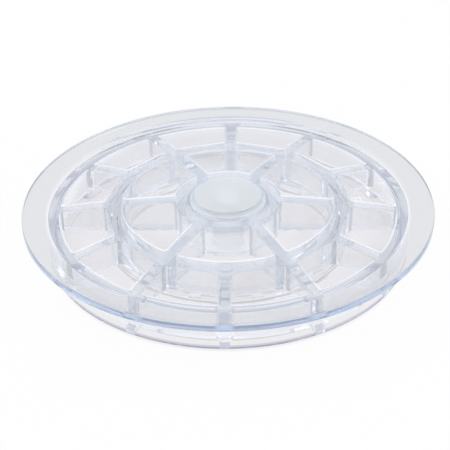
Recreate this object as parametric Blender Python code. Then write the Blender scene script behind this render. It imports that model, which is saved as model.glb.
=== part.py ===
"""Clear lazy susan turntable: a ribbed top that turns on a ring of balls over a fixed base.

Metres, +Z up.  The origin is on the table, under the middle of the turntable.
"""
import math

import bmesh
import bpy
from mathutils import Matrix, Vector

# ---- driving dimensions ------------------------------------------------------------------------
# deck and flange
RIM_RADIUS = 0.1500           # outer edge of the flange
FLANGE_WIDTH = 0.0185         # overhang of the flange past the skirt
RIM_TOP = 0.0355              # height of the flange's upper face above the table
RIM_THICKNESS = 0.0061
RIM_EDGE_ROUND = 0.0010
DECK_THICKNESS = 0.0036       # the crowned web between the ribs
CROWN_RISE = 0.0076           # centre of the deck above the flange
GUTTER_DROP = 0.0025          # shallow ring channel below the flange, over the skirt
DOME_RISE = 0.0034            # hub button above the crown
# skirt
SKIRT_GAP = 0.0020            # foot of the skirt above the table
SKIRT_WALL = 0.0030           # at its foot
SKIRT_BAND = 0.0085           # upper part, above the relief
RELIEF_HEIGHT = 0.0070        # inner relief at the skirt's foot, between the uprights
# ribs under the deck
RIB_BOTTOM = 0.0135           # height of the ribs' lower edges above the table
SPOKE_WIDTH = 0.0070
OUTER_SPOKES = 12
INNER_SPOKES = 6
HUB_RADIUS = 0.0375
HUB_BUTTON_RADIUS = 0.0270
HUB_WALL = 0.0070
MIDDLE_RING_INNER = 0.0776    # radius
MIDDLE_RING_WIDTH = 0.0115    # at its corners, where the outer spokes meet it
POCKET_CORNER = 0.0040
# ball race
BALL_RADIUS = 0.0040
BALL_COUNT = 12
RACE_DEPTH = 0.0011
CAGE_THICKNESS = 0.0020
CAGE_WIDTH = 0.0120
CAGE_CLEARANCE = 0.0003
# base and pivot
BASE_GAP = 0.0015             # underside of the base above the table
BASE_THICKNESS = 0.0030
BASE_CLEARANCE = 0.0025       # between the base's edge and the uprights of the skirt
RACE_RING_WIDTH = 0.0100
POST_RADIUS = 0.0072
POST_TOP = 0.0300
POST_HEAD_HEIGHT = 0.0050
SNAP_CATCH = 0.0007           # reach of the snap head past the post
SNAP_PLAY = 0.0004            # lift of the top before the snap head catches
SNAP_SLOT_WIDTH = 0.0016      # the crossed slots that let the post's prongs flex
SNAP_SLOT_DEPTH = 0.0140
SOCKET_WALL = 0.0035
SOCKET_BOTTOM = 0.0103        # height of the socket's mouth above the table
SOCKET_HEADROOM = 0.0030      # above the post
SHOULDER_MARGIN = 0.0010      # reach of the shoulder and washer past the socket
WASHER_THICKNESS = 0.0012
FIT_GAP = 0.0003              # between faces that touch on the real object
# feet
FOOT_COUNT = 6
FOOT_RADIUS = 0.0070
FOOT_INSET = 0.0125           # centre of a foot from the base's edge
FOOT_RECESS = 0.0010

# ---- sizes that follow from them ---------------------------------------------------------------
SKIRT_RADIUS = RIM_RADIUS - FLANGE_WIDTH
POCKET_OUTER = SKIRT_RADIUS - SKIRT_BAND
DECK_UNDERSIDE_AT_RIM = RIM_TOP - RIM_THICKNESS
MIDDLE_RING_OUTER = MIDDLE_RING_INNER + MIDDLE_RING_WIDTH
RACE_RADIUS = (MIDDLE_RING_INNER + MIDDLE_RING_OUTER * math.cos(math.pi / OUTER_SPOKES)) / 2
GROOVE_RADIUS = BALL_RADIUS + FIT_GAP
GROOVE_HALF_WIDTH = math.sqrt(GROOVE_RADIUS ** 2 - (GROOVE_RADIUS - RACE_DEPTH) ** 2)
BALL_CENTRE = RIB_BOTTOM + RACE_DEPTH - GROOVE_RADIUS
BASE_TOP = BASE_GAP + BASE_THICKNESS
BASE_RADIUS = POCKET_OUTER - BASE_CLEARANCE
RACE_RING_TOP = BALL_CENTRE - GROOVE_RADIUS + RACE_DEPTH
POST_HEAD_RADIUS = POST_RADIUS + SNAP_CATCH
POST_HEAD_LOW = POST_TOP - POST_HEAD_HEIGHT
SOCKET_BORE = POST_RADIUS + FIT_GAP
SOCKET_RADIUS = SOCKET_BORE + SOCKET_WALL
SOCKET_TOP = POST_TOP + SOCKET_HEADROOM
SNAP_CHAMBER = POST_HEAD_RADIUS + FIT_GAP
LIP_TOP = POST_HEAD_LOW - SNAP_PLAY
SHOULDER_RADIUS = SOCKET_RADIUS + SHOULDER_MARGIN
SHOULDER_TOP = SOCKET_BOTTOM - WASHER_THICKNESS - 2 * FIT_GAP
FOOT_RING_RADIUS = BASE_RADIUS - FOOT_INSET
FOOT_TOP = BASE_GAP + FOOT_RECESS

# ---- fineness of the facets --------------------------------------------------------------------
LATHE_SEGMENTS = 60
SMALL_SEGMENTS = 24
CROWN_STEPS = 5
DOME_STEPS = 3
GROOVE_STEPS = 5
BALL_SEGMENTS = 12
BALL_RINGS = 7


# ---- helpers -----------------------------------------------------------------------------------
def clear_scene():
    """Remove every object that the opened scene holds."""
    for item in list(bpy.data.objects):
        bpy.data.objects.remove(item)


def plastic(name, colour, roughness, alpha):
    """Return a new Principled material of one colour."""
    material = bpy.data.materials.new(name)
    material.use_nodes = True
    shader = material.node_tree.nodes["Principled BSDF"]
    shader.inputs["Base Color"].default_value = (*colour, 1.0)
    shader.inputs["Roughness"].default_value = roughness
    shader.inputs["Metallic"].default_value = 0.0
    shader.inputs["Alpha"].default_value = alpha
    return material


def finish_mesh(name, bm, material):
    """Turn a bmesh into a named object with outward faces and smooth round sides."""
    bmesh.ops.recalc_face_normals(bm, faces=bm.faces)
    mesh = bpy.data.meshes.new(name)
    bm.to_mesh(mesh)
    bm.free()
    if material:
        mesh.materials.append(material)
    mesh.shade_smooth()
    mesh.set_sharp_from_angle(angle=math.radians(30))
    item = bpy.data.objects.new(name, mesh)
    bpy.context.collection.objects.link(item)
    return item


def mark_cutter(item):
    """Keep a cutter out of the model."""
    item.hide_render = True
    item.display_type = "WIRE"
    return item


def add_boolean(target, cutter, operation):
    """Cut or trim target by cutter."""
    modifier = target.modifiers.new(cutter.name, "BOOLEAN")
    modifier.object = cutter
    modifier.operation = operation
    modifier.solver = "EXACT"


def turn_profile(bm, profile, segments):
    """Add the closed solid that a closed (radius, height) outline makes about the Z axis."""
    rings = []
    for radius, height in profile:
        if radius == 0.0:
            rings.append([bm.verts.new((0.0, 0.0, height))])
            continue
        angles = [math.tau * step / segments for step in range(segments)]
        rings.append([bm.verts.new((radius * math.cos(a), radius * math.sin(a), height))
                      for a in angles])
    for first, second in zip(rings, rings[1:] + rings[:1]):
        for step in range(segments):
            following = (step + 1) % segments
            if len(first) == 1 and len(second) == 1:
                break
            if len(first) == 1:
                bm.faces.new((first[0], second[step], second[following]))
            elif len(second) == 1:
                bm.faces.new((first[step], first[following], second[0]))
            else:
                bm.faces.new((first[step], first[following], second[following], second[step]))


def lathe(name, profile, material=None, segments=LATHE_SEGMENTS):
    """Return the turned solid of one outline as an object."""
    bm = bmesh.new()
    turn_profile(bm, profile, segments)
    return finish_mesh(name, bm, material)


def extrude_outline(bm, outline, low, high):
    """Add an upright prism over a closed outline of (x, y) points."""
    bottom = [bm.verts.new((x, y, low)) for x, y in outline]
    top = [bm.verts.new((x, y, high)) for x, y in outline]
    bm.faces.new(bottom[::-1])
    bm.faces.new(top)
    for step, corner in enumerate(bottom):
        following = (step + 1) % len(outline)
        bm.faces.new((corner, bottom[following], top[following], top[step]))


# ---- outlines of the spaces between the ribs ---------------------------------------------------
def beside_spoke(radius, angle, offset):
    """Return the point at a radius on a line parallel to a spoke, offset to its left."""
    along = math.sqrt(radius ** 2 - offset ** 2)
    turn = Matrix.Rotation(angle, 2)
    return turn @ Vector((along, offset))


def arc_between(start, end, steps):
    """Return the points inside an arc about the Z axis from one point to another."""
    radius = start.length
    first = math.atan2(start.y, start.x)
    sweep = (math.atan2(end.y, end.x) - first + math.pi) % math.tau - math.pi
    angles = [first + sweep * step / steps for step in range(1, steps)]
    return [Vector((radius * math.cos(a), radius * math.sin(a))) for a in angles]


def round_corner(before, corner, after, radius):
    """Return three points that replace a corner by a small round."""
    start = corner + (before - corner).normalized() * min(radius, (before - corner).length * 0.4)
    end = corner + (after - corner).normalized() * min(radius, (after - corner).length * 0.4)
    return [start, (start + end + 2 * corner) / 4, end]


def cell_outline(inner, outer, first_spoke, last_spoke, inner_steps, outer_steps):
    """Return the outline of the space between two spokes and two rings, with rounded corners."""
    half = SPOKE_WIDTH / 2
    corners = [beside_spoke(inner, first_spoke, half), beside_spoke(outer, first_spoke, half),
               beside_spoke(outer, last_spoke, -half), beside_spoke(inner, last_spoke, -half)]
    outer_arc = arc_between(corners[1], corners[2], outer_steps)
    inner_arc = arc_between(corners[3], corners[0], inner_steps)
    after_last = inner_arc[0] if inner_arc else corners[0]
    before_first = inner_arc[-1] if inner_arc else corners[3]
    points = round_corner(corners[0], corners[1], outer_arc[0], POCKET_CORNER)
    points += outer_arc[1:-1]
    points += round_corner(outer_arc[-1], corners[2], corners[3], POCKET_CORNER)
    points += round_corner(corners[2], corners[3], after_last, POCKET_CORNER)
    points += inner_arc[1:-1]
    points += round_corner(before_first, corners[0], corners[1], POCKET_CORNER)
    return [tuple(point) for point in points]


# ---- the turntable top -------------------------------------------------------------------------
def crown_height(radius):
    """Return the height of the deck's upper face inside the ring channel."""
    fall = (CROWN_RISE + GUTTER_DROP) * (radius / POCKET_OUTER) ** 2
    return RIM_TOP + CROWN_RISE - fall


def crown_points(first, last, steps, drop):
    """Return points along the crown between two radii, lowered by drop."""
    radii = [first + (last - first) * step / steps for step in range(steps + 1)]
    return [(radius, crown_height(radius) - drop) for radius in radii]


def dome_points():
    """Return the hub button's upper face from its middle to its edge."""
    base = crown_height(HUB_BUTTON_RADIUS)
    radii = [HUB_BUTTON_RADIUS * step / DOME_STEPS for step in range(DOME_STEPS)]
    return [(radius, base + DOME_RISE * (1 - (radius / HUB_BUTTON_RADIUS) ** 2)) for radius in radii]


def groove_points(rising):
    """Return a race groove's section, from the inside outwards; rising opens it downwards."""
    half_angle = math.asin(GROOVE_HALF_WIDTH / GROOVE_RADIUS)
    sign = 1 if rising else -1
    points = []
    for step in range(GROOVE_STEPS + 1):
        angle = half_angle * (2 * step / GROOVE_STEPS - 1)
        points.append((RACE_RADIUS + GROOVE_RADIUS * math.sin(angle),
                       BALL_CENTRE + sign * GROOVE_RADIUS * math.cos(angle)))
    return points


def top_profile():
    """Return the outline of the turned body that the pockets are cut from."""
    hub_inner = HUB_RADIUS - HUB_WALL
    upper = dome_points()
    upper += crown_points(HUB_BUTTON_RADIUS, POCKET_OUTER, CROWN_STEPS, 0.0)
    upper += [(SKIRT_RADIUS, RIM_TOP - GUTTER_DROP),
              (SKIRT_RADIUS + GUTTER_DROP, RIM_TOP),
              (RIM_RADIUS - RIM_EDGE_ROUND, RIM_TOP),
              (RIM_RADIUS, RIM_TOP - RIM_EDGE_ROUND),
              (RIM_RADIUS, DECK_UNDERSIDE_AT_RIM + RIM_EDGE_ROUND),
              (RIM_RADIUS - RIM_EDGE_ROUND, DECK_UNDERSIDE_AT_RIM),
              (SKIRT_RADIUS, DECK_UNDERSIDE_AT_RIM),
              (SKIRT_RADIUS, SKIRT_GAP),
              (POCKET_OUTER, SKIRT_GAP),
              (POCKET_OUTER, RIB_BOTTOM)]
    lower = groove_points(rising=True)[::-1]
    lower += [(hub_inner, RIB_BOTTOM),
              (hub_inner, crown_height(hub_inner) - DECK_THICKNESS),
              (SOCKET_RADIUS, crown_height(SOCKET_RADIUS) - DECK_THICKNESS),
              (SOCKET_RADIUS, SOCKET_BOTTOM),
              (SOCKET_BORE, SOCKET_BOTTOM),
              (SOCKET_BORE, LIP_TOP),
              (SNAP_CHAMBER, LIP_TOP + (SNAP_CHAMBER - SOCKET_BORE)),
              (SNAP_CHAMBER, SOCKET_TOP),
              (0.0, SOCKET_TOP)]
    return upper + lower


def pocket_cutter():
    """Return the spaces between the ribs, with the deck's crowned underside as their roof."""
    bm = bmesh.new()
    low = -RIM_TOP
    high = RIM_TOP + CROWN_RISE
    for count, inner, outer, inner_steps, outer_steps in (
            (INNER_SPOKES, HUB_RADIUS, MIDDLE_RING_INNER, 5, 10),
            (OUTER_SPOKES, MIDDLE_RING_OUTER, POCKET_OUTER, 1, 5)):
        pitch = math.tau / count
        for number in range(count):
            outline = cell_outline(inner, outer, number * pitch, (number + 1) * pitch,
                                   inner_steps, outer_steps)
            extrude_outline(bm, outline, low, high)
    cutter = mark_cutter(finish_mesh("pocket_cutter", bm, None))
    roof = [(0.0, -2 * RIM_TOP), (0.0, crown_height(0.0) - DECK_THICKNESS)]
    roof += crown_points(HUB_RADIUS, RIM_RADIUS, CROWN_STEPS + 3, DECK_THICKNESS)
    roof += [(RIM_RADIUS, -2 * RIM_TOP)]
    add_boolean(cutter, mark_cutter(lathe("under_deck", roof[::-1])), "INTERSECT")
    return cutter


def relief_cutter():
    """Return the relief inside the skirt's foot, between the uprights."""
    bm = bmesh.new()
    pitch = math.tau / OUTER_SPOKES
    for number in range(OUTER_SPOKES):
        outline = cell_outline(POCKET_OUTER - SKIRT_WALL, SKIRT_RADIUS - SKIRT_WALL,
                               number * pitch, (number + 1) * pitch, 5, 5)
        extrude_outline(bm, outline, SKIRT_GAP - RELIEF_HEIGHT, SKIRT_GAP + RELIEF_HEIGHT)
    return mark_cutter(finish_mesh("relief_cutter", bm, None))


def make_turntable_top(axis):
    """Make the clear ribbed moulding that turns."""
    clear = plastic("clear_top", (0.86, 0.90, 0.95), 0.05, 0.35)
    top = lathe("turntable_top", top_profile(), clear)
    add_boolean(top, pocket_cutter(), "DIFFERENCE")
    add_boolean(top, relief_cutter(), "DIFFERENCE")
    top.parent = axis
    return top


# ---- the base ----------------------------------------------------------------------------------
def base_profile():
    """Return the outline of the turned base with its race, shoulder and snap post."""
    edge = RIM_EDGE_ROUND / 2
    race_inner = RACE_RADIUS - RACE_RING_WIDTH / 2
    race_outer = RACE_RADIUS + RACE_RING_WIDTH / 2
    points = [(0.0, POST_TOP),
              (POST_RADIUS - FIT_GAP, POST_TOP),
              (POST_HEAD_RADIUS, POST_HEAD_LOW + SNAP_CATCH),
              (POST_RADIUS, POST_HEAD_LOW),
              (POST_RADIUS, SHOULDER_TOP),
              (SHOULDER_RADIUS, SHOULDER_TOP),
              (SHOULDER_RADIUS, BASE_TOP),
              (race_inner, BASE_TOP),
              (race_inner, RACE_RING_TOP)]
    points += groove_points(rising=False)
    points += [(race_outer, RACE_RING_TOP),
               (race_outer, BASE_TOP),
               (BASE_RADIUS - edge, BASE_TOP),
               (BASE_RADIUS, BASE_TOP - edge),
               (BASE_RADIUS, BASE_GAP + edge),
               (BASE_RADIUS - edge, BASE_GAP),
               (0.0, BASE_GAP)]
    return points


def foot_places():
    """Return the centre of each foot on the table."""
    angles = [math.tau * (number + 0.5) / FOOT_COUNT for number in range(FOOT_COUNT)]
    return [(FOOT_RING_RADIUS * math.cos(a), FOOT_RING_RADIUS * math.sin(a)) for a in angles]


def snap_slot_cutter():
    """Return the crossed slots in the post's head."""
    bm = bmesh.new()
    half = SNAP_SLOT_WIDTH / 2
    reach = POST_HEAD_RADIUS + SNAP_SLOT_WIDTH
    outline = [(reach, -half), (reach, half), (half, half), (half, reach),
               (-half, reach), (-half, half), (-reach, half), (-reach, -half),
               (-half, -half), (-half, -reach), (half, -reach), (half, -half)]
    extrude_outline(bm, outline, POST_TOP - SNAP_SLOT_DEPTH, POST_TOP + SNAP_SLOT_WIDTH)
    return mark_cutter(finish_mesh("snap_slot_cutter", bm, None))


def make_base():
    """Make the fixed clear base, with a slotted snap post and a recess for each foot."""
    clear = plastic("clear_base", (0.86, 0.90, 0.95), 0.06, 0.35)
    base = lathe("base_plate", base_profile(), clear)
    add_boolean(base, snap_slot_cutter(), "DIFFERENCE")
    bm = bmesh.new()
    for x, y in foot_places():
        outline = []
        for step in range(SMALL_SEGMENTS):
            angle = math.tau * step / SMALL_SEGMENTS
            reach = FOOT_RADIUS + FIT_GAP
            outline.append((x + reach * math.cos(angle), y + reach * math.sin(angle)))
        extrude_outline(bm, outline, 0.0, FOOT_TOP + FIT_GAP)
    add_boolean(base, mark_cutter(finish_mesh("foot_recess_cutter", bm, None)), "DIFFERENCE")
    return base


def make_feet():
    """Make the soft feet, each standing in its recess."""
    for number, (x, y) in enumerate(foot_places(), start=1):
        soft = plastic(f"soft_foot_{number}", (0.85, 0.88, 0.90), 0.5, 0.6)
        profile = [(0.0, FOOT_TOP),
                   (FOOT_RADIUS, FOOT_TOP),
                   (FOOT_RADIUS, RIM_EDGE_ROUND / 2),
                   (FOOT_RADIUS - RIM_EDGE_ROUND / 2, 0.0),
                   (0.0, 0.0)]
        foot = lathe(f"foot_{number}", profile, soft, SMALL_SEGMENTS)
        foot.location = (x, y, 0.0)


def make_pivot_washer():
    """Make the washer that the socket turns on."""
    slippery = plastic("slippery_washer", (0.93, 0.94, 0.93), 0.4, 0.8)
    low = SHOULDER_TOP + FIT_GAP
    high = low + WASHER_THICKNESS
    inner = POST_RADIUS + FIT_GAP
    outer = SHOULDER_RADIUS
    profile = [(outer, high), (outer, low), (inner, low), (inner, high)]
    lathe("pivot_washer", profile, slippery, SMALL_SEGMENTS)


# ---- the ball ring -----------------------------------------------------------------------------
def ball_places():
    """Return the angle of each ball, midway between the outer spokes."""
    return [math.tau * (number + 0.5) / BALL_COUNT for number in range(BALL_COUNT)]


def make_cage(axis):
    """Make the flat ring that keeps the balls apart."""
    clear = plastic("clear_cage", (0.90, 0.93, 0.96), 0.15, 0.45)
    inner = RACE_RADIUS - CAGE_WIDTH / 2
    outer = RACE_RADIUS + CAGE_WIDTH / 2
    low = BALL_CENTRE - CAGE_THICKNESS / 2
    high = BALL_CENTRE + CAGE_THICKNESS / 2
    cage = lathe("ball_cage", [(outer, high), (outer, low), (inner, low), (inner, high)], clear)
    bm = bmesh.new()
    reach = BALL_RADIUS + CAGE_CLEARANCE
    for angle in ball_places():
        x = RACE_RADIUS * math.cos(angle)
        y = RACE_RADIUS * math.sin(angle)
        steps = [angle + math.tau * step / SMALL_SEGMENTS for step in range(SMALL_SEGMENTS)]
        outline = [(x + reach * math.cos(a), y + reach * math.sin(a)) for a in steps]
        extrude_outline(bm, outline, low - CAGE_THICKNESS, high + CAGE_THICKNESS)
    add_boolean(cage, mark_cutter(finish_mesh("cage_pocket_cutter", bm, None)), "DIFFERENCE")
    cage.parent = axis
    return cage


def make_balls(axis):
    """Make the balls, each an object of its own."""
    bm = bmesh.new()
    bmesh.ops.create_uvsphere(bm, u_segments=BALL_SEGMENTS, v_segments=BALL_RINGS,
                              radius=BALL_RADIUS)
    mesh = bpy.data.meshes.new("ball")
    bm.to_mesh(mesh)
    bm.free()
    mesh.materials.append(plastic("clear_ball", (0.90, 0.94, 0.97), 0.03, 0.4))
    mesh.shade_smooth()
    for number, angle in enumerate(ball_places(), start=1):
        ball = bpy.data.objects.new(f"ball_{number:02d}", mesh)
        ball.location = (RACE_RADIUS * math.cos(angle), RACE_RADIUS * math.sin(angle), BALL_CENTRE)
        ball.parent = axis
        bpy.context.collection.objects.link(ball)


def make_axis(name):
    """Return an empty on the turning axis."""
    axis = bpy.data.objects.new(name, None)
    bpy.context.collection.objects.link(axis)
    return axis


def main():
    """Build the turntable."""
    clear_scene()
    make_base()
    make_feet()
    make_pivot_washer()
    cage_axis = make_axis("cage_axis")
    make_cage(cage_axis)
    make_balls(cage_axis)
    make_turntable_top(make_axis("turntable_axis"))


main()
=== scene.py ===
"""Looks of a clear moulded lazy susan: a ribbed, crowned top that spins on a ball ring over a base.

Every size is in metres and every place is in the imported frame: +Z up, origin on the table under
the middle of the turntable. A colour is its red, green and blue.
"""

import logging
from dataclasses import dataclass
from enum import Enum
from math import acos, atan2, cos, hypot, pi, radians, sin, sqrt, tan, tau
from typing import Any, Callable, Sequence

import bmesh
import bpy
from bmesh.types import BMesh
from bpy.types import Material, Node, NodeSocket, NodeTree, Object
from mathutils import Matrix, Vector


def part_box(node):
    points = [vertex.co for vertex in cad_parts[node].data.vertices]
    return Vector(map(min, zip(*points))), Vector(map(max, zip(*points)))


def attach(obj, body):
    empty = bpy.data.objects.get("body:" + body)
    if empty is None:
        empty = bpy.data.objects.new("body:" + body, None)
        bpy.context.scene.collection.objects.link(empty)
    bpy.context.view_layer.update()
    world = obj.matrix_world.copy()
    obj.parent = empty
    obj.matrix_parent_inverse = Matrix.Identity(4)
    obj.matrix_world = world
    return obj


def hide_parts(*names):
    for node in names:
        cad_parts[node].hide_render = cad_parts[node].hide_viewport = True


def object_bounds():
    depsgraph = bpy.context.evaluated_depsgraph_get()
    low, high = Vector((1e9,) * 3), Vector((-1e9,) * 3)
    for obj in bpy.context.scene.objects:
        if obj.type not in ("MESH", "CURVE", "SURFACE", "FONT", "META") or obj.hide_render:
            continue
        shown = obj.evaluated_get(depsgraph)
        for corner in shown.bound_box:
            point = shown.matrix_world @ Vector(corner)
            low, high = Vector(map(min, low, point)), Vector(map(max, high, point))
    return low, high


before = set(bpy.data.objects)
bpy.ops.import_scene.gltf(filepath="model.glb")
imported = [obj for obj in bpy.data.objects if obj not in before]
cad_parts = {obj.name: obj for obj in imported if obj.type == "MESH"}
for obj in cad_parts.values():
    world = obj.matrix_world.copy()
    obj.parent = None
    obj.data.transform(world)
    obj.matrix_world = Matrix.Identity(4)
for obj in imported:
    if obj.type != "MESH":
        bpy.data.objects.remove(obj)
frame_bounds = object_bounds()

LOG = logging.getLogger("turntable")
SHARP_ANGLE = radians(40)
NEAR_AXIS = 1e-9
WHITE = (1.0, 1.0, 1.0)

Point = tuple[float, float]
Triple = tuple[float, float, float]


class Body(str, Enum):
    """The rigid bodies that the pieces ride on."""

    BASE = "base"
    BALL_RING = "ball_ring"
    TURNTABLE = "turntable"


# ---- node graphs ----
class Signal:
    """A number that a node gives, with arithmetic that adds Math nodes."""

    def __init__(self, graph: "Graph", socket: NodeSocket) -> None:
        """Wrap one output socket of a graph."""
        self.graph = graph
        self.socket = socket

    def _math(self, operation: str, *terms: Any) -> "Signal":
        """Return what a Math node makes of numbers or signals."""
        return self.graph.signal("ShaderNodeMath", dict(enumerate(terms)), operation=operation)

    def __add__(self, other: Any) -> "Signal":
        """Return the sum."""
        return self._math("ADD", self, other)

    def __sub__(self, other: Any) -> "Signal":
        """Return the difference."""
        return self._math("SUBTRACT", self, other)

    def __rsub__(self, other: Any) -> "Signal":
        """Return the difference from another value."""
        return self._math("SUBTRACT", other, self)

    def __mul__(self, other: Any) -> "Signal":
        """Return the product."""
        return self._math("MULTIPLY", self, other)

    def __truediv__(self, other: Any) -> "Signal":
        """Return the quotient."""
        return self._math("DIVIDE", self, other)

    def __rtruediv__(self, other: Any) -> "Signal":
        """Return the quotient of another value by this one."""
        return self._math("DIVIDE", other, self)

    __radd__ = __add__
    __rmul__ = __mul__

    def sine(self) -> "Signal":
        """Return the sine of an angle in radians."""
        return self._math("SINE", self)

    def root(self) -> "Signal":
        """Return the square root."""
        return self._math("SQRT", self)

    def between(self, low: float, high: float) -> "Signal":
        """Return 0 below low, 1 above high and a smooth step between them."""
        return self.graph.signal("ShaderNodeMapRange",
                                 {"Value": self, "From Min": low, "From Max": high},
                                 interpolation_type="SMOOTHSTEP")


class Graph:
    """A node tree that is built by short calls."""

    def __init__(self, tree: NodeTree) -> None:
        """Start from an empty tree."""
        self.tree = tree
        tree.nodes.clear()

    def add(self, kind: str, values: dict[Any, Any] | None = None, **settings: Any) -> Node:
        """Add a node.

        Args:
            kind: The node's type.
            values: A value, signal, socket or node for each input, by name or number.
            settings: Its own properties, which are set first.

        Returns:
            The new node.
        """
        node = self.tree.nodes.new(kind)
        for name, value in settings.items():
            setattr(node, name, value)
        for name, value in (values or {}).items():
            source = value.outputs[0] if isinstance(value, Node) else getattr(value, "socket", value)
            if isinstance(source, NodeSocket):
                self.tree.links.new(source, node.inputs[name])
            elif node.inputs[name].type == "RGBA":
                node.inputs[name].default_value = (*source, 1.0)
            else:
                node.inputs[name].default_value = source
        return node

    def signal(self, kind: str, values: dict[Any, Any] | None = None, **settings: Any) -> Signal:
        """Add a node and return its first output, ready for arithmetic."""
        return Signal(self, self.add(kind, values, **settings).outputs[0])

    def axes(self, place: NodeSocket) -> list[Signal]:
        """Return the three coordinates of a place."""
        parts = self.add("ShaderNodeSeparateXYZ", {0: place}).outputs
        return [Signal(self, part) for part in parts]

    def noise(self, place: NodeSocket, scale: float, detail: float, roughness: float = 0.5) -> Signal:
        """Return a cloudy pattern from 0 to 1."""
        return self.signal("ShaderNodeTexNoise", {"Vector": place, "Scale": scale,
                                                  "Detail": detail, "Roughness": roughness})

    def blend(self, share: Signal, first: Any, second: Any) -> NodeSocket:
        """Return the mix of two colours, given the share of the second."""
        return self.add("ShaderNodeMix", {"Factor": share, 6: first, 7: second},
                        data_type="RGBA").outputs[2]


def new_material(name: str) -> tuple[Material, Graph, NodeSocket]:
    """Return a new material, its empty graph and its Object coordinates."""
    made = bpy.data.materials.new(name)
    made.use_nodes = True
    graph = Graph(made.node_tree)
    return made, graph, graph.add("ShaderNodeTexCoord").outputs["Object"]


# ---- finishes ----
@dataclass(frozen=True)
class Zone:
    """A part of a clear moulding whose painted shade or light, painted glow or polish differs from the
    rest.

    A bound is the pair of values between which the zone fades in or out. Where the zone follows
    the crown, its heights fall with the square of the radius.
    """

    inner: Point | None = None
    outer: Point | None = None
    bottom: Point | None = None
    top: Point | None = None
    crown_fall: float = 0.0
    rough: float = 0.0
    milk: float = 0.0
    coat: float = 0.0
    # Painted shade or painted light in the base colour, and a painted glow from the emission, by zone.
    film: Triple | None = (0.84, 0.84, 0.84)
    veil: Triple | None = (1.00, 1.00, 1.02)

    @classmethod
    def ring(cls, inner: float, outer: float, bottom: float, top: float, fade: float = 0.0006,
             **looks: Any) -> "Zone":
        """Make a zone with the same fade outside each of its bounds.

        Args:
            inner: The inner radius, or 0 for a whole disc.
            outer: The outer radius.
            bottom: The lower height.
            top: The upper height.
            fade: How far outside its bounds the zone has faded out.
            looks: The zone's other fields.

        Returns:
            The zone.
        """
        return cls((inner - fade, inner) if inner else None, (outer, outer + fade),
                   (bottom - fade, bottom), (top, top + fade), **looks)

    def mask(self, radius: Signal, height: Signal) -> Any:
        """Return 1 inside the zone and 0 outside it.

        Args:
            radius: The distance from the axis.
            height: The height above the table.

        Returns:
            The mask.
        """
        level = height + radius * radius * self.crown_fall if self.crown_fall else height
        mask: Any = 1.0
        for value, rise, fall in ((radius, self.inner, self.outer), (level, self.bottom, self.top)):
            if rise:
                mask = value.between(*rise) * mask
            if fall:
                mask = (1.0 - value.between(*fall)) * mask
        return mask


@dataclass(frozen=True)
class ClearPlastic:
    """A clear moulding with faint flow marks, handling haze and a tint that grows with depth.

    The absorbed values are per metre of depth. The base colour is what the two faces of a wall let
    through: the plastic's tint, with painted shade and painted light laid into it by zone. The
    emission is a painted glow that stands in for light scattered inside the hazy plastic. The relief
    weighs the flow rings, the clouds and the grain against one another.
    """

    name: str
    slot: str
    absorbed: Triple = (11.0, 9.0, 6.6)
    ior: float = 1.42
    gloss: float = 0.02
    haze: float = 0.03
    ripple: float = 0.10
    # Next: the base colour's tint with painted shade, the colour of random worn patches, and a painted
    # glow (emission colour and strength) that stands in for light scattered inside.
    film: Triple = (0.76, 0.755, 0.76)
    worn: Triple = (0.70, 0.69, 0.69)
    veil: Triple = (1.00, 0.99, 1.00)
    veil_strength: float = 0.100
    milk_colour: Triple = (0.93, 0.94, 0.935)
    coat_rough: float = 0.03
    cloud_scale: float = 28.0
    wear: Point = (0.50, 0.78)
    grain_scale: float = 900.0
    grain_rough: float = 0.012
    ring_scale: float = 900.0
    ring_wander: float = 9.0
    relief: Triple = (0.20, 1.6, 0.10)
    relief_depth: float = 0.0004
    zones: tuple[Zone, ...] = ()

    def material(self) -> Material:
        """Build the material.

        Returns:
            A Principled glass-like shader over a plain absorbing volume.
        """
        made, graph, place = new_material(self.name)
        x, y, height = graph.axes(place)
        radius = (x * x + y * y).root()
        cloud = graph.noise(place, self.cloud_scale, detail=3.0, roughness=0.55)
        grain = graph.noise(place, self.grain_scale, detail=2.0, roughness=0.6)
        rings = (radius * self.ring_scale + cloud * self.ring_wander).sine()
        worn = cloud.between(*self.wear)
        rough = worn * self.haze + grain * self.grain_rough + self.gloss
        shade: Any = graph.blend(worn, self.film, self.worn)
        veil: Any = self.veil
        milkiness: Any = 0.0
        coat: Any = 0.0
        for zone in self.zones:
            mask = zone.mask(radius, height)
            if zone.rough:
                rough = rough + mask * zone.rough
            if zone.milk:
                milkiness = mask * zone.milk + milkiness
            if zone.coat:
                coat = mask * zone.coat + coat
            if zone.film:
                shade = graph.blend(mask, shade, zone.film)
            if zone.veil:
                veil = graph.blend(mask, veil, zone.veil)
        relief = sum(part * weight for part, weight in zip((rings, cloud, grain), self.relief))
        bump = graph.add("ShaderNodeBump", {"Strength": self.ripple, "Height": relief,
                                            "Distance": self.relief_depth})
        # The base colour carries the zones' painted shade and painted light, and the emission is a
        # painted glow.
        surface = graph.add("ShaderNodeBsdfPrincipled",
                            {"Base Color": shade, "Roughness": rough, "IOR": self.ior,
                             "Transmission Weight": 1.0, "Normal": bump, "Coat Weight": coat,
                             "Coat Roughness": self.coat_rough, "Emission Color": veil,
                             "Emission Strength": self.veil_strength})
        if isinstance(milkiness, Signal):
            milk = graph.add("ShaderNodeBsdfDiffuse", {"Color": self.milk_colour, "Normal": bump})
            surface = graph.add("ShaderNodeMixShader", {0: milkiness, 1: surface, 2: milk})
        strongest = max(self.absorbed)
        tint = tuple(1.0 - share / strongest for share in self.absorbed)
        depth = graph.add("ShaderNodeVolumeAbsorption", {"Color": tint, "Density": strongest})
        graph.add("ShaderNodeOutputMaterial", {"Surface": surface, "Volume": depth})
        return made


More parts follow.
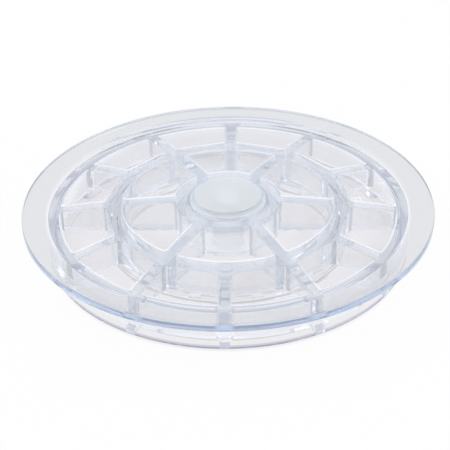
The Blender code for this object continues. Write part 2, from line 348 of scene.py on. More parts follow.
@dataclass(frozen=True)
class MilkyPlastic:
    """A translucent soft or slippery plastic with a fine matt grain and a faint painted glow."""

    name: str
    slot: str
    colour: Triple
    through: float
    rough: float
    rough_spread: float = 0.12
    darkest: float = 0.93
    # A painted glow: emission in the plastic's own colour that lifts it out of shade, though it is no
    # lamp.
    glow: float = 0.14
    ior: float = 1.45
    cloud_scale: float = 180.0
    grain_scale: float = 2600.0
    grain_strength: float = 0.25
    grain_depth: float = 0.0001

    def material(self) -> Material:
        """Build the material.

        Returns:
            A Principled shader that lets part of the light through.
        """
        made, graph, place = new_material(self.name)
        cloud = graph.noise(place, self.cloud_scale, detail=3.0)
        grain = graph.noise(place, self.grain_scale, detail=2.0)
        darker = tuple(self.darkest * channel for channel in self.colour)
        shade = graph.blend(cloud, self.colour, darker)
        bump = graph.add("ShaderNodeBump", {"Strength": self.grain_strength, "Height": grain,
                                            "Distance": self.grain_depth})
        # The emission paints a glow in the plastic's own colour.
        shader = graph.add("ShaderNodeBsdfPrincipled",
                           {"Base Color": shade, "IOR": self.ior,
                            "Roughness": cloud * self.rough_spread + self.rough,
                            "Transmission Weight": self.through, "Emission Color": shade,
                            "Emission Strength": self.glow, "Normal": bump})
        graph.add("ShaderNodeOutputMaterial", {"Surface": shader})
        return made


Finish = ClearPlastic | MilkyPlastic


# ---- outlines ----
def rounded(corners: Sequence[Triple], steps: int) -> list[Point]:
    """Round the corners of an outline, which is closed or has sharp ends.

    Args:
        corners: The corners as (radius, height, round), where a round of 0 stays sharp.
        steps: The number of straight pieces in each round.

    Returns:
        The outline's points as (radius, height).
    """
    points: list[Point] = []
    for number, (radius, height, size) in enumerate(corners):
        corner = Vector((radius, height))
        if size == 0.0:
            points.append((radius, height))
            continue
        before = (Vector(corners[number - 1][:2]) - corner).normalized()
        after = (Vector(corners[(number + 1) % len(corners)][:2]) - corner).normalized()
        half = before.angle(after) / 2
        centre = corner + (before + after).normalized() * size / sin(half)
        start = corner + before * size / tan(half) - centre
        sweep = pi - 2 * half
        if before.cross(after) > 0:
            sweep = -sweep
        points += [tuple(centre + Matrix.Rotation(sweep * step / steps, 2) @ start)
                   for step in range(steps + 1)]
    return points


def arc_points(centre: Point, radius: float, first: float, last: float, steps: int) -> list[Point]:
    """Return points on an arc.

    Args:
        centre: The arc's centre.
        radius: Its radius.
        first: The angle of its first point, in radians.
        last: The angle of its last point.
        steps: The number of straight pieces.

    Returns:
        The points, ends included.
    """
    angles = [first + (last - first) * step / steps for step in range(steps + 1)]
    return [(centre[0] + radius * cos(a), centre[1] + radius * sin(a)) for a in angles]


def flat_ring(inner: float, outer: float, bottom: float, top: float, edge: float) -> list[Point]:
    """Return a flat ring's section, with its corners rounded by edge."""
    corners = [(outer, top, edge), (outer, bottom, edge), (inner, bottom, edge), (inner, top, edge)]
    return rounded(corners, steps=3)


@dataclass(frozen=True)
class Race:
    """The track that the balls run in, half of it cut in the top and half in the base."""

    radius: float = 0.0818
    groove_radius: float = 0.0043
    depth: float = 0.0011
    steps: int = 10

    def groove(self, face: float, side: int) -> list[Triple]:
        """Return a groove's section.

        Args:
            face: The height of the face that it is cut into.
            side: 1 if it is cut upwards, -1 if it is cut downwards.

        Returns:
            Its points as sharp corners, anticlockwise about the ball.
        """
        centre = (self.radius, face + side * (self.depth - self.groove_radius))
        middle = side * pi / 2
        half = acos(1 - self.depth / self.groove_radius)
        points = arc_points(centre, self.groove_radius, middle - half, middle + half, self.steps)
        return [(radius, height, 0.0) for radius, height in points]


RACE = Race()


# ---- meshes ----
def new_piece(name: str, bm: BMesh) -> Object:
    """Turn a bmesh into an object with outward faces, smooth where its angles are slight.

    Args:
        name: The object's name.
        bm: The mesh, which is freed.

    Returns:
        The object, linked into the scene at the origin.
    """
    bmesh.ops.recalc_face_normals(bm, faces=bm.faces)
    mesh = bpy.data.meshes.new(name)
    bm.to_mesh(mesh)
    bm.free()
    mesh.shade_smooth()
    mesh.set_sharp_from_angle(angle=SHARP_ANGLE)
    piece = bpy.data.objects.new(name, mesh)
    bpy.context.scene.collection.objects.link(piece)
    return piece


def bridge(bm: BMesh, first: list, second: list) -> None:
    """Join two closed rings of vertices.

    Args:
        bm: The mesh that both rings are in.
        first: One ring, or a single pole.
        second: The other ring, of the same length unless it is a pole.
    """
    count = max(len(first), len(second))
    for step in range(count):
        after = (step + 1) % count
        corners = dict.fromkeys((first[step % len(first)], first[after % len(first)],
                                 second[after % len(second)], second[step % len(second)]))
        if len(corners) > 2:
            bm.faces.new(tuple(corners))


def turned(name: str, outline: Sequence[Point], segments: int, centre: Point = (0.0, 0.0)) -> Object:
    """Turn an outline about an upright axis.

    Args:
        name: The object's name.
        outline: Its (radius, height) points, closed by the axis or by its own ends.
        segments: The number of facets round.
        centre: Where the axis stands.

    Returns:
        The closed solid.
    """
    bm = bmesh.new()
    rings = []
    for radius, height in outline:
        pole = radius < NEAR_AXIS
        around = [centre] if pole else arc_points(centre, radius, 0.0, tau, segments)[:-1]
        rings.append([bm.verts.new((*point, height)) for point in around])
    for first, second in zip(rings, rings[1:] + rings[:1]):
        bridge(bm, first, second)
    return new_piece(name, bm)


def stacked(name: str, rings: Sequence[Sequence[Triple]]) -> Object:
    """Join rings of points into a closed solid.

    Args:
        name: The object's name.
        rings: Rings of the same number of points, the last of which may be one point.

    Returns:
        The closed solid.
    """
    bm = bmesh.new()
    made = [[bm.verts.new(point) for point in ring] for ring in rings]
    bm.faces.new(made[0][::-1])
    for first, second in zip(made, made[1:]):
        bridge(bm, first, second)
    if len(made[-1]) > 1:
        bm.faces.new(made[-1])
    return new_piece(name, bm)


# ---- patterns that Geometry Nodes repeat ----
@dataclass(frozen=True)
class Round:
    """One part repeated round the axis, from half a pitch off the X axis if there are several."""

    part: Object
    count: int

    @property
    def start(self) -> float:
        """Return the angle of the first one."""
        return pi / self.count if self.count > 1 else 0.0


def geometry_tree(name: str, patterns: Sequence[Round], cut: bool) -> NodeTree:
    """Build a tree that repeats parts round the axis and adds them or cuts them out.

    Args:
        name: The tree's name.
        patterns: What it repeats; each gets three named inputs.
        cut: True to cut the parts out of the object's own mesh, False to show the parts alone.

    Returns:
        The tree, which ends in Realize Instances and Set Material.
    """
    tree = bpy.data.node_groups.new(name, "GeometryNodeTree")
    graph = Graph(tree)
    wanted = [("Geometry", "Geometry"), ("Material", "Material")]
    wanted += [(f"{pattern.part.name} {label}", kind) for pattern in patterns
               for label, kind in (("part", "Object"), ("count", "Int"), ("start", "Float"))]
    for label, kind in wanted:
        tree.interface.new_socket(label, in_out="INPUT", socket_type=f"NodeSocket{kind}")
    tree.interface.new_socket("Geometry", in_out="OUTPUT", socket_type="NodeSocketGeometry")
    given = graph.add("NodeGroupInput").outputs
    index = graph.signal("GeometryNodeInputIndex")
    joined = graph.add("GeometryNodeJoinGeometry")
    for pattern in patterns:
        count = Signal(graph, given[f"{pattern.part.name} count"])
        angle = index * tau / count + Signal(graph, given[f"{pattern.part.name} start"])
        points = graph.add("GeometryNodePoints", {"Count": count})
        part = graph.add("GeometryNodeObjectInfo", {"Object": given[f"{pattern.part.name} part"]},
                         transform_space="ORIGINAL")
        turn = graph.add("ShaderNodeCombineXYZ", {"Z": angle})
        spread = graph.add("GeometryNodeInstanceOnPoints",
                           {"Points": points, "Instance": part.outputs["Geometry"],
                            "Rotation": turn})
        tree.links.new(spread.outputs[0], joined.inputs[0])
    shown = graph.add("GeometryNodeRealizeInstances", {0: joined})
    if cut:
        difference = graph.add("GeometryNodeMeshBoolean",
                               {"Mesh 1": given["Geometry"], "Mesh 2": shown},
                               operation="DIFFERENCE", solver="EXACT")
        shown = graph.add("GeometryNodeRealizeInstances", {0: difference})
    dressed = graph.add("GeometryNodeSetMaterial", {"Geometry": shown, "Material": given["Material"]})
    graph.add("NodeGroupOutput", {0: dressed})
    return tree


def settle(piece: Object) -> None:
    """Turn a piece's modifiers into its mesh, with normals that keep its flat faces flat.

    Args:
        piece: The object, whose modifiers are removed.
    """
    for weighted in (False, True):
        if weighted:
            piece.data.shade_smooth()
            piece.data.set_sharp_from_angle(angle=SHARP_ANGLE)
            even = piece.modifiers.new("even_normals", "WEIGHTED_NORMAL")
            even.keep_sharp = True
        bpy.context.view_layer.update()
        graph = bpy.context.evaluated_depsgraph_get()
        mesh = bpy.data.meshes.new_from_object(piece.evaluated_get(graph))
        piece.modifiers.clear()
        mesh.name = piece.name
        piece.data = mesh


def dress(piece: Object, body: Body, nodes: Sequence[str]) -> None:
    """Hang a finished piece on its body and hide the frame's nodes that it stands for.

    Args:
        piece: The piece.
        body: The body that it rides on.
        nodes: The frame's nodes that it replaces.
    """
    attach(piece, body.value)
    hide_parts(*nodes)
    triangles = sum(len(face.vertices) - 2 for face in piece.data.polygons)
    LOG.info("%s: %d triangles on %s", piece.name, triangles, body.value)


def pattern_piece(name: str, blank: Object | None, patterns: Sequence[Round],
                  finish: Finish, body: Body, nodes: Sequence[str]) -> None:
    """Make a piece whose parts repeat round the axis.

    Args:
        name: The piece's name.
        blank: The solid that the parts are cut from, or None where the parts are the piece.
        patterns: The repeated parts, whose objects are removed afterwards.
        finish: The piece's finish.
        body: The body that it rides on.
        nodes: The frame's nodes that it replaces.
    """
    piece = blank or new_piece(name, bmesh.new())
    piece.name = name
    tree = geometry_tree(f"{name}_pattern", patterns, cut=blank is not None)
    modifier = piece.modifiers.new("pattern", "NODES")
    modifier.node_group = tree
    inputs = {item.name: item.identifier for item in tree.interface.items_tree
              if item.in_out == "INPUT"}
    modifier[inputs["Material"]] = finish.material()
    for pattern in patterns:
        for label in ("part", "count", "start"):
            modifier[inputs[f"{pattern.part.name} {label}"]] = getattr(pattern, label)
    settle(piece)
    for pattern in patterns:
        bpy.data.objects.remove(pattern.part)
    dress(piece, body, nodes)


# ---- the space between two ribs ----
@dataclass(frozen=True)
class Pocket:
    """The space between two spokes, an inner wall and an outer wall, centred on the X axis.

    The inner wall is straight where chord is true, or else an arc.
    """

    top: "TurntableTop"
    spokes: int
    inner: float
    outer: float
    chord: bool

    WALL_STEPS = 6
    ROUND_STEPS = 5
    FILL = (0.86, 0.7, 0.52, 0.34, 0.16)
    LEAST_CORNER = 0.0012

    def _ring(self, side: float, inner: float, outer: float,
              height: Callable[[float], float]) -> list[Triple]:
        """Return one closed ring of the solid.

        Args:
            side: How far it lies inside the spokes' faces.
            inner: How far it lies inside the inner wall.
            outer: How far it lies inside the outer wall.
            height: The height of a point by its distance from the axis.

        Returns:
            The ring's points.
        """
        half_pitch = pi / self.spokes
        along = Vector((cos(half_pitch), sin(half_pitch)))
        away = Vector((sin(half_pitch), -cos(half_pitch)))
        size = max(self.top.corner_round - max(side, inner, outer), self.LEAST_CORNER)
        reach = self.outer - outer
        far = self.top.spoke_width / 2 + side + size
        outer_centre = along * sqrt((reach - size) ** 2 - far ** 2) + away * far
        near_wall = self.inner + inner
        steps = self.WALL_STEPS
        if self.chord:
            inner_centre = along * ((near_wall + size - far * away.x) / along.x) + away * far
            inner_touch = Vector((near_wall, inner_centre.y))
            points = [(near_wall, inner_touch.y * step / steps) for step in range(steps)]
        else:
            inner_centre = along * sqrt((near_wall + size) ** 2 - far ** 2) + away * far
            inner_touch = inner_centre * near_wall / (near_wall + size)
            angle = atan2(inner_touch.y, inner_touch.x)
            points = arc_points((0.0, 0.0), near_wall, 0.0, angle, steps)[:-1]
        outer_touch = outer_centre * reach / (reach - size)
        start = inner_centre - away * size
        points += self._corner_points(inner_centre, inner_touch, start)
        stop = outer_centre - away * size
        points += [tuple(start.lerp(stop, step / steps)) for step in range(1, steps)]
        points += self._corner_points(outer_centre, stop, outer_touch)
        angle = atan2(outer_touch.y, outer_touch.x)
        points += arc_points((0.0, 0.0), reach, angle, 0.0, int(180 / self.spokes) - 2)[1:]
        outline = points + [(x, -y) for x, y in points[-2:0:-1]]
        return [(x, y, height(hypot(x, y))) for x, y in outline]

    def _corner_points(self, centre: Vector, start: Vector, stop: Vector) -> list[Point]:
        """Return the points of a rounded corner about a centre, ends included."""
        first = atan2(start.y - centre.y, start.x - centre.x)
        last = atan2(stop.y - centre.y, stop.x - centre.x)
        sweep = (last - first + pi) % tau - pi
        return arc_points(tuple(centre), (start - centre).length, first, first + sweep,
                          self.ROUND_STEPS)

    def solid(self, name: str) -> Object:
        """Return the pocket as a solid to cut with.

        Args:
            name: The object's name.

        Returns:
            The closed solid, from below the ribs up to the rounded roof.
        """
        rings = []
        top = self.top
        flare = top.mouth_round
        flat = 0.0 if self.chord else flare
        rings.append(self._ring(-flare, -flare, -flat, lambda r: top.rib_bottom - 3 * flare))
        for step in range(self.ROUND_STEPS + 1):
            angle = pi / 2 * (1 - step / self.ROUND_STEPS)
            inset = -flare * (1 - cos(angle))
            level = top.rib_bottom + flare * (1 - sin(angle))
            outer = 0.0 if self.chord else inset
            rings.append(self._ring(inset, inset, outer, lambda r, z=level: z))
        size = top.roof_round
        for step in range(self.ROUND_STEPS + 1):
            angle = pi / 2 * step / self.ROUND_STEPS
            inset = size * (1 - cos(angle))
            drop = size * (1 - sin(angle))
            rings.append(self._ring(inset, inset, inset, lambda r, d=drop: top.roof(r) - d))
        last = rings[-1]
        middle = (min(p[0] for p in last) + max(p[0] for p in last)) / 2
        for share in self.FILL:
            shrunk = [(middle + (x - middle) * share, y * share) for x, y, _ in last]
            rings.append([(x, y, top.roof(hypot(x, y))) for x, y in shrunk])
        rings.append([(middle, 0.0, top.roof(middle))])
        return stacked(name, rings)


# ---- the turntable top ----
@dataclass
class TurntableTop:
    """The clear moulding that turns: flange, skirt, crowned deck, ribs and pivot socket."""

    finish: ClearPlastic
    flange_width: float = 0.0185
    flange_thickness: float = 0.0061
    flange_height: float = 0.0355
    deck_thickness: float = 0.0036
    crown_rise: float = 0.0076
    channel_depth: float = 0.0025
    rim_round: float = 0.0011
    step_radius: float = 0.1290
    step_width: float = 0.0080
    step_round: float = 0.0020
    button_radius: float = 0.0270
    gate_radius: float = 0.0013
    gate_depth: float = 0.0002
    skirt_band: float = 0.0085
    skirt_foot: float = 0.0030
    relief_height: float = 0.0070
    relief_round: float = 0.0030
    rib_bottom: float = 0.0135
    spoke_width: float = 0.0070
    outer_spokes: int = 12
    inner_spokes: int = 6
    hub_radius: float = 0.0375
    hub_wall: float = 0.0070
    ring_inner: float = 0.0776
    ring_outer: float = 0.0869
    socket_radius: float = 0.0110
    socket_bore: float = 0.0075
    socket_bottom: float = 0.0103
    socket_top: float = 0.0330
    snap_step: float = 0.0007
    snap_height: float = 0.0246
    dome_power: float = 0.60
    dome_steps: int = 16
    crown_steps: int = 12
    relief_bend_steps: int = 6
    relief_steps: int = 24
    flange_root_round: float = 0.0008
    skirt_rounds: Point = (0.0007, 0.0005)
    hub_rounds: Point = (0.0006, 0.0040)
    socket_rounds: Triple = (0.0015, 0.0005, 0.0004)
    chamber_round: float = 0.0006
    roof_round: float = 0.0020
    corner_round: float = 0.0030
    mouth_round: float = 0.0006
    round_steps: int = 5
    segments: int = 540

    def __post_init__(self) -> None:
        """Take the overall sizes from the frame."""
        low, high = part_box("turntable_top")
        self.rim_radius = high.x
        self.foot = low.z
        self.dome_top = high.z
        self.skirt_radius = self.rim_radius - self.flange_width
        self.pocket_outer = self.skirt_radius - self.skirt_band

    def crown(self, radius: float) -> float:
        """Return the height of the deck's upper face at a distance from the axis."""
        fall = (self.crown_rise + self.channel_depth) * (radius / self.pocket_outer) ** 2
        return self.flange_height + self.crown_rise - fall

    def roof(self, radius: float) -> float:
        """Return the height of the deck's underside at a distance from the axis."""
        return self.crown(radius) - self.deck_thickness

    def _upper(self) -> list[Triple]:
        """Return the corners of the upper face, from the middle to the flange's edge."""
        base = self.crown(self.button_radius)
        rise = self.dome_top - base
        mark = self.dome_top - self.gate_depth
        corners = [(0.0, mark, 0.0), (self.gate_radius - 2 * self.gate_depth, mark, 0.0)]
        for step in range(self.dome_steps):
            share = step / self.dome_steps
            radius = self.gate_radius + (self.button_radius - self.gate_radius) * share
            bulge = (1 - (radius / self.button_radius) ** 2) ** self.dome_power
            corners.append((radius, base + rise * bulge, 0.0))
        for step in range(self.crown_steps + 1):
            share = step / self.crown_steps
            radius = self.button_radius + (self.pocket_outer - self.button_radius) * share
            corners.append((radius, self.crown(radius), 0.0))
        floor = self.flange_height - self.channel_depth
        corners += [(self.step_radius - self.step_width / 2, floor, self.step_round),
                    (self.step_radius + self.step_width / 2, self.flange_height, self.step_round),
                    (self.rim_radius, self.flange_height, self.rim_round)]
        return corners

    def _lower(self) -> list[Triple]:
        """Return the corners of the underside, from the flange's edge back to the axis."""
        hub_inner = self.hub_radius - self.hub_wall
        chamber = self.socket_bore + self.snap_step
        under = self.flange_height - self.flange_thickness
        skirt_outer, skirt_inner = self.skirt_rounds
        hub_foot, hub_roof = self.hub_rounds
        socket_root, socket_foot, bore_foot = self.socket_rounds
        corners = [(self.rim_radius, under, self.rim_round),
                   (self.skirt_radius, under, self.flange_root_round),
                   (self.skirt_radius, self.foot, skirt_outer),
                   (self.pocket_outer, self.foot, skirt_inner),
                   (self.pocket_outer, self.rib_bottom, 0.0)]
        corners += RACE.groove(self.rib_bottom, side=1)
        corners += [(hub_inner, self.rib_bottom, hub_foot),
                    (hub_inner, self.roof(hub_inner), hub_roof)]
        for share in (0.8, 0.6, 0.4, 0.2):
            radius = self.socket_radius + (hub_inner - self.socket_radius) * share
            corners.append((radius, self.roof(radius), 0.0))
        corners += [(self.socket_radius, self.roof(self.socket_radius), socket_root),
                    (self.socket_radius, self.socket_bottom, socket_foot),
                    (self.socket_bore, self.socket_bottom, bore_foot),
                    (self.socket_bore, self.snap_height, 0.0),
                    (chamber, self.snap_height + self.snap_step, 0.0),
                    (chamber, self.socket_top, self.chamber_round),
                    (0.0, self.socket_top, 0.0)]
        return corners

    def _relief(self) -> Object:
        """Return the curved relief behind the skirt's foot, whose upper corners are round."""
        outer = self.skirt_radius - self.skirt_foot
        inner = self.pocket_outer - self.skirt_foot
        size = self.relief_round
        top = self.foot + self.relief_height
        bottom = self.foot - size
        half_angle = pi / self.outer_spokes - self.spoke_width / 2 / outer
        bend = size / outer
        flat = half_angle - bend
        ends = [half_angle - bend * (1 - cos(pi / 2 * step / self.relief_bend_steps))
                for step in range(self.relief_bend_steps + 1)]
        angles = [-angle for angle in ends]
        angles += [-flat + 2 * flat * step / self.relief_steps
                   for step in range(1, self.relief_steps)]
        angles += ends[::-1]
        rings = []
        for angle in angles:
            into = max(0.0, abs(angle) - flat) / bend
            level = top - size * (1 - sqrt(max(0.0, 1 - into ** 2)))
            rings.append([(r * cos(angle), r * sin(angle), z)
                          for r, z in ((inner, bottom), (outer, bottom), (outer, level),
                                       (inner, level))])
        return stacked("relief", rings)

    def build(self) -> None:
        """Make the moulding and hang it on its body."""
        outline = rounded(self._upper() + self._lower(), self.round_steps)
        blank = turned("blank_top", outline, self.segments)
        outer = Pocket(self, self.outer_spokes, self.ring_outer, self.pocket_outer, chord=True)
        inner = Pocket(self, self.inner_spokes, self.hub_radius, self.ring_inner, chord=False)
        patterns = [
            Round(outer.solid("outer_pocket"), self.outer_spokes),
            Round(inner.solid("inner_pocket"), self.inner_spokes),
            Round(self._relief(), self.outer_spokes),
        ]
        pattern_piece("clear_turntable_top", blank, patterns, self.finish, Body.TURNTABLE,
                      ["turntable_top"])


# ---- the base ----
@dataclass
class BasePlate:
    """The fixed clear disc with its ball race, shoulder and slotted snap post."""

    finish: ClearPlastic
    thickness: float = 0.0030
    race_width: float = 0.0100
    race_top: float = 0.0071
    shoulder_radius: float = 0.0120
    shoulder_top: float = 0.0085
    post_radius: float = 0.0072
    head_height: float = 0.0050
    snap_catch: float = 0.0007
    slot_width: float = 0.0016
    slot_depth: float = 0.0140
    foot_radius: float = 0.0073
    foot_ring: float = 0.1080
    foot_recess: float = 0.0013
    foot_count: int = 6
    post_taper: float = 0.0003
    post_round: float = 0.0006
    snap_round: float = 0.0002
    shoulder_round: float = 0.0004
    root_round: float = 0.0010
    race_round: float = 0.0003
    race_root_round: float = 0.0008
    rim_round: float = 0.0009
    round_steps: int = 4
    segments: int = 240
    recess_segments: int = 48

    def _outline(self) -> list[Point]:
        """Return the turned outline, from the post's top down and round to the underside."""
        low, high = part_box("base_plate")
        top = low.z + self.thickness
        head = high.z - self.head_height
        inner_edge = RACE.radius - self.race_width / 2
        outer_edge = RACE.radius + self.race_width / 2
        corners = [(0.0, high.z, 0.0),
                   (self.post_radius - self.post_taper, high.z, self.post_round),
                   (self.post_radius + self.snap_catch, head + self.snap_catch, self.snap_round),
                   (self.post_radius, head, self.snap_round),
                   (self.post_radius, self.shoulder_top, self.snap_round),
                   (self.shoulder_radius, self.shoulder_top, self.shoulder_round),
                   (self.shoulder_radius, top, self.root_round),
                   (inner_edge, top, self.race_root_round),
                   (inner_edge, self.race_top, self.race_round)]
        corners += RACE.groove(self.race_top, side=-1)
        corners += [(outer_edge, self.race_top, self.race_round),
                    (outer_edge, top, self.race_root_round),
                    (high.x, top, self.rim_round),
                    (high.x, low.z, self.rim_round),
                    (0.0, low.z, 0.0)]
        return rounded(corners, self.round_steps)

    def _slot(self) -> Object:
        """Return the crossed slots that let the post's prongs flex."""
        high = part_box("base_plate")[1].z
        half = self.slot_width / 2
        reach = self.post_radius + 2 * self.slot_width
        outline = []
        for quarter in range(4):
            turn = Matrix.Rotation(quarter * pi / 2, 2)
            outline += [tuple(turn @ Vector(p)) for p in ((reach, -half), (reach, half), (half, half))]
        levels = (high - self.slot_depth, high + self.slot_width)
        return stacked("slot", [[(x, y, z) for x, y in outline] for z in levels])

    def build(self) -> None:
        """Make the base and hang it on its body."""
        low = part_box("base_plate")[0].z
        blank = turned("blank_base", self._outline(), self.segments)
        bottom, top = low - self.foot_recess, low + self.foot_recess
        outline = [(0.0, bottom), (self.foot_radius, bottom), (self.foot_radius, top), (0.0, top)]
        recess = turned("recess", outline, self.recess_segments, (self.foot_ring, 0.0))
        patterns = [Round(recess, self.foot_count), Round(self._slot(), count=1)]
        pattern_piece("clear_base", blank, patterns, self.finish, Body.BASE, ["base_plate"])


@dataclass
class Feet:
    """The soft feet, each in its recess under the base."""

    finish: MilkyPlastic
    count: int = 6
    edge: float = 0.0006
    upper_edge: float = 0.0002
    round_steps: int = 5
    segments: int = 48

    def build(self) -> None:
        """Make the feet as one piece and hang it on the base."""
        names = [f"foot_{number}" for number in range(1, self.count + 1)]
        low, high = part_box(names[0])
        radius = (high.y - low.y) / 2
        ring = hypot((low.x + high.x) / 2, (low.y + high.y) / 2)
        outline = rounded([(0.0, high.z, 0.0), (radius, high.z, self.upper_edge),
                           (radius, low.z, self.edge), (0.0, low.z, 0.0)], self.round_steps)
        foot = turned("foot", outline, self.segments, (ring, 0.0))
        patterns = [Round(foot, self.count)]
        pattern_piece("soft_feet", None, patterns, self.finish, Body.BASE, names)


@dataclass
class PivotWasher:
    """The low-friction washer between the shoulder and the socket."""

    finish: MilkyPlastic
    bore: float = 0.0075
    edge: float = 0.00025
    segments: int = 96

    def build(self) -> None:
        """Make the washer and hang it on the base."""
        low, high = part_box("pivot_washer")
        outline = flat_ring(self.bore, high.x, low.z, high.z, self.edge)
        piece = turned("pivot_washer_ring", outline, self.segments)
        piece.data.materials.append(self.finish.material())
        settle(piece)
        dress(piece, Body.BASE, ["pivot_washer"])


# ---- the ball ring ----
@dataclass
class BallRing:
    """The cage and its balls, which travel round together at half of the top's speed."""

    cage_finish: ClearPlastic
    ball_finish: ClearPlastic
    count: int = 12
    clearance: float = 0.0003
    edge: float = 0.0003
    ball_steps: int = 16
    ball_segments: int = 28
    seat_segments: int = 48
    segments: int = 240

    def __post_init__(self) -> None:
        """Take the balls' size and height from the frame."""
        low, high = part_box("ball_01")
        self.ball_radius = (high.z - low.z) / 2
        self.ball_height = (low.z + high.z) / 2

    def build_cage(self) -> None:
        """Make the flat ring that keeps the balls apart."""
        low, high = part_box("ball_cage")
        inner = 2 * RACE.radius - high.x
        reach = self.ball_radius + self.clearance
        outline = flat_ring(inner, high.x, low.z, high.z, self.edge)
        blank = turned("blank_cage", outline, self.segments)
        bottom, top = low.z - reach, high.z + reach
        outline = [(0.0, bottom), (reach, bottom), (reach, top), (0.0, top)]
        seat = turned("seat", outline, self.seat_segments, (RACE.radius, 0.0))
        pattern_piece("clear_cage", blank, [Round(seat, self.count)], self.cage_finish,
                      Body.BALL_RING, ["ball_cage"])

    def build_balls(self) -> None:
        """Make the balls as one piece."""
        outline = arc_points((0.0, self.ball_height), self.ball_radius, pi / 2, -pi / 2,
                             self.ball_steps)
        ball = turned("ball", outline, self.ball_segments, (RACE.radius, 0.0))
        names = [f"ball_{number:02d}" for number in range(1, self.count + 1)]
        pattern_piece("clear_balls", None, [Round(ball, self.count)], self.ball_finish,
                      Body.BALL_RING, names)


# ---- the studio ----
@dataclass
class Studio:
    """A white table with a painted shadow, soft light and the camera."""

    target: Triple = (0.0, 0.0, 0.0355)
    distance: float = 1.2215
    elevation: float = radians(31.75)
    azimuth: float = radians(1.7)
    roll: float = radians(-1.0)
    focal_length: float = 134.0
    sensor: float = 36.0
    shift: Point = (-0.0066, -0.0463)
    floor_size: float = 6.0
    floor_drop: float = 0.0001
    floor_colour: Triple = (0.9, 0.9, 0.9)
    floor_glow: float = 0.96
    # Painted shadow in the table's glow: shade under the middle, the darker edge_shade from just
    # inside the skirt's foot outward, and a second circle set shade_back behind the turntable.
    shade_radius: float = 0.1325
    shade_fade: float = 0.0060
    shade_back: float = 0.0560
    back_fade: float = 0.0100
    edge_width: float = 0.0100
    edge_fade: float = 0.0250
    shade: Triple = (0.87, 0.85, 0.86)
    edge_shade: Triple = (0.78, 0.76, 0.775)
    sky: tuple[Triple, ...] = ((0.80, 0.84, 0.90), (0.78, 0.82, 0.88), (0.88, 0.90, 0.92))
    sky_middle: float = 0.55
    sky_strength: float = 1.02

    def camera(self) -> None:
        """Stand the camera before the turntable, looking down on it."""
        data = bpy.data.cameras.new("camera")
        data.lens = self.focal_length
        data.sensor_width = self.sensor
        data.shift_x, data.shift_y = self.shift
        data.clip_end = 20.0
        eye = bpy.data.objects.new("camera", data)
        bpy.context.scene.collection.objects.link(eye)
        eye.matrix_world = (Matrix.Translation(self.target) @ Matrix.Rotation(self.azimuth, 4, "Z")
                            @ Matrix.Rotation(pi / 2 - self.elevation, 4, "X")
                            @ Matrix.Translation((0.0, 0.0, self.distance))
                            @ Matrix.Rotation(self.roll, 4, "Z"))
        bpy.context.scene.camera = eye

    def floor(self) -> None:
        """Lay the white table, whose glow holds a painted shadow under and behind the turntable, while
        its matt part keeps a faint real shadow.
        """
        bm = bmesh.new()
        bmesh.ops.create_grid(bm, x_segments=1, y_segments=1, size=self.floor_size / 2)
        for corner in bm.verts:
            corner.co.z = -self.floor_drop
        plane = new_piece("white_table", bm)
        made, graph, place = new_material("white_table")
        x, y, _ = graph.axes(place)
        back = y - self.shade_back
        radius = (x * x + y * y).root()
        behind = (x * x + back * back).root()
        reach = self.shade_radius
        # lit is 0 under the painted shadow and 1 on the plain white table.
        lit = (radius.between(reach - self.shade_fade, reach)
               * behind.between(reach - self.back_fade, reach))
        edge = reach - self.edge_width
        near = radius.between(edge - self.edge_fade, edge)
        tone = graph.blend(lit, graph.blend(near, self.shade, self.edge_shade), WHITE)
        matt = graph.add("ShaderNodeBsdfDiffuse", {"Color": self.floor_colour})
        glow = graph.add("ShaderNodeEmission", {"Color": tone})
        path = graph.add("ShaderNodeLightPath").outputs
        seen = sum(Signal(graph, path[f"Is {kind} Ray"])
                   for kind in ("Camera", "Glossy", "Transmission"))
        mixed = graph.add("ShaderNodeMixShader", {0: seen * self.floor_glow, 1: matt, 2: glow})
        graph.add("ShaderNodeOutputMaterial", {"Surface": mixed})
        plane.data.materials.append(made)

    def world(self) -> None:
        """Fill the room with soft light that is paler overhead."""
        room = bpy.data.worlds.new("room")
        bpy.context.scene.world = room
        room.use_nodes = True
        graph = Graph(room.node_tree)
        height = graph.axes(graph.add("ShaderNodeTexCoord").outputs["Generated"])[2]
        low, middle, high = self.sky
        lower = graph.blend(height / self.sky_middle, low, middle)
        share = (height - self.sky_middle) / (1.0 - self.sky_middle)
        room_light = graph.add("ShaderNodeBackground", {"Color": graph.blend(share, lower, high),
                                                        "Strength": self.sky_strength})
        white = graph.add("ShaderNodeBackground", {"Color": WHITE})
        path = graph.add("ShaderNodeLightPath").outputs
        mixed = graph.add("ShaderNodeMixShader", {0: path["Is Camera Ray"], 1: room_light, 2: white})
        graph.add("ShaderNodeOutputWorld", {"Surface": mixed})

    def lamp(self, name: str, place: Triple, size: float, power: float) -> None:
        """Hang a square soft lamp that points at the turntable.

        Args:
            name: The lamp's name.
            place: Where it hangs.
            size: The length of its side.
            power: Its power in watts.
        """
        data = bpy.data.lights.new(name, "AREA")
        data.size = size
        data.energy = power
        lamp = bpy.data.objects.new(name, data)
        lamp.location = place
        lamp.rotation_euler = (-Vector(place)).to_track_quat("-Z", "Y").to_euler()
        bpy.context.scene.collection.objects.link(lamp)

    def build(self) -> None:
        """Set up the whole studio."""
        self.camera()
        self.floor()
        self.world()
        self.lamp("key", (-0.9, 0.7, 1.1), size=0.7, power=3.5)
        self.lamp("fill", (1.2, -0.2, 0.8), size=0.6, power=2.0)
        bpy.context.scene.view_settings.view_transform = "Standard"


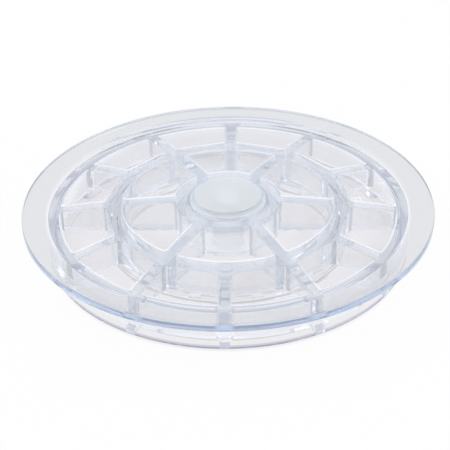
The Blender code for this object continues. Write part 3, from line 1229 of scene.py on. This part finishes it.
def top_zones() -> tuple[Zone, ...]:
    """Return the zones of the turntable's top, each of which covers the ones before it."""
    rim = frame_bounds[1].x
    # Painted shade: a darker tint over the flange.
    flange = Zone(inner=(0.1321, 0.1331), film=(0.655, 0.65, 0.655), veil=None)
    # Painted light: a lighter tint on the skirt, and on its upper outer face a still lighter tint with
    # a brighter painted glow.
    skirt = Zone.ring(0.1222, 0.1330, 0.0045, 0.0290, film=(0.85, 0.85, 0.855),
                      veil=(1.00, 0.99, 1.00))
    collar = Zone.ring(0.1295, 0.1330, 0.0210, 0.0290, film=(0.95, 0.95, 0.955),
                       veil=(1.10, 1.10, 1.12))
    # Painted shade: a darker, bluer tint and a dimmer painted glow on the undersides of the inner
    # ribs.
    ribs = Zone.ring(0.0385, 0.0775, 0.0110, 0.0160, rough=0.02, film=(0.58, 0.62, 0.66),
                     veil=(0.85, 0.90, 0.97))
    # Frosted hub wall; its lighter tint is painted light.
    wall = Zone.ring(0.0290, 0.0390, 0.0, 0.0300, rough=0.12, film=(0.88, 0.88, 0.885))
    # Painted shade: a dark blue tint and a dim painted glow on the ring round the dome.
    hub = Zone.ring(0.0276, 0.0318, 0.0300, 0.0395, rough=0.10, film=(0.46, 0.53, 0.60),
                    veil=(0.58, 0.67, 0.78))
    # Frosted core under the dome; its lighter tint is painted light.
    core = Zone.ring(0.0, 0.0268, 0.0, 0.0397, rough=0.40, film=(0.92, 0.92, 0.925))
    # Painted shade and highlight: a bluish tint and a brighter, bluer painted glow on the ring at the
    # dome's edge.
    edge = Zone.ring(0.0240, 0.0270, 0.0385, 0.0500, rough=0.06, film=(0.80, 0.84, 0.88),
                     veil=(0.97, 1.03, 1.10))
    button = Zone.ring(0.0, 0.0240, 0.0385, 0.0500, 0.0012, rough=0.34, milk=0.42, coat=1.0)
    # Painted highlight: a strong painted glow on a thin band along the rounded upper edges of the
    # pockets, following the crown.
    outline = Zone((0.0360, 0.0365), (0.1228, 0.1230), (0.0381, 0.0385), (0.0391, 0.0393),
                   crown_fall=0.6676, film=(0.90, 0.90, 0.91), veil=(2.10, 2.10, 2.15))
    # Painted shade: a deep blue tint and a bluish painted glow on the rim's outer face below its top
    # edge.
    band = Zone(inner=(rim - 0.0004, rim - 0.0002), top=(0.0343, 0.0351), rough=0.10,
                film=(0.47, 0.57, 0.75), veil=(0.56, 0.67, 0.83))
    # Painted shade: a dark tint and a dim painted glow on the skirt's foot, next to the table.
    foot = Zone(top=(0.0036, 0.0040), film=(0.45, 0.45, 0.54), veil=(0.60, 0.60, 0.70))
    return (flange, skirt, collar, ribs, wall, hub, core, edge, button, outline, band, foot)


def main() -> None:
    """Build the studio and every piece."""
    logging.basicConfig(level=logging.INFO, format="%(name)s: %(message)s")
    Studio().build()
    TurntableTop(ClearPlastic("clear_moulding", "clear_top", zones=top_zones())).build()
    # Frosted post; its lighter tint and brighter painted glow are painted light.
    pivot = Zone.ring(0.0, 0.0125, 0.0050, 0.0400, rough=0.40, film=(0.93, 0.93, 0.93),
                      veil=(1.10, 1.10, 1.12))
    BasePlate(ClearPlastic("clear_base_moulding", "clear_base", film=(0.84, 0.835, 0.84),
                           worn=(0.79, 0.78, 0.78), zones=(pivot,))).build()
    Feet(MilkyPlastic("soft_clear_rubber", "soft_foot", (0.93, 0.95, 0.97), through=0.95,
                      rough=0.22)).build()
    PivotWasher(MilkyPlastic("slippery_plastic", "slippery_washer", (0.97, 0.97, 0.98),
                             through=0.8, rough=0.35)).build()
    ring = BallRing(ClearPlastic("clear_cage_plastic", "clear_cage"),
                    ClearPlastic("clear_ball_plastic", "clear_ball", haze=0.02, ripple=0.03))
    ring.build_cage()
    ring.build_balls()


if __name__ == "__main__":
    main()
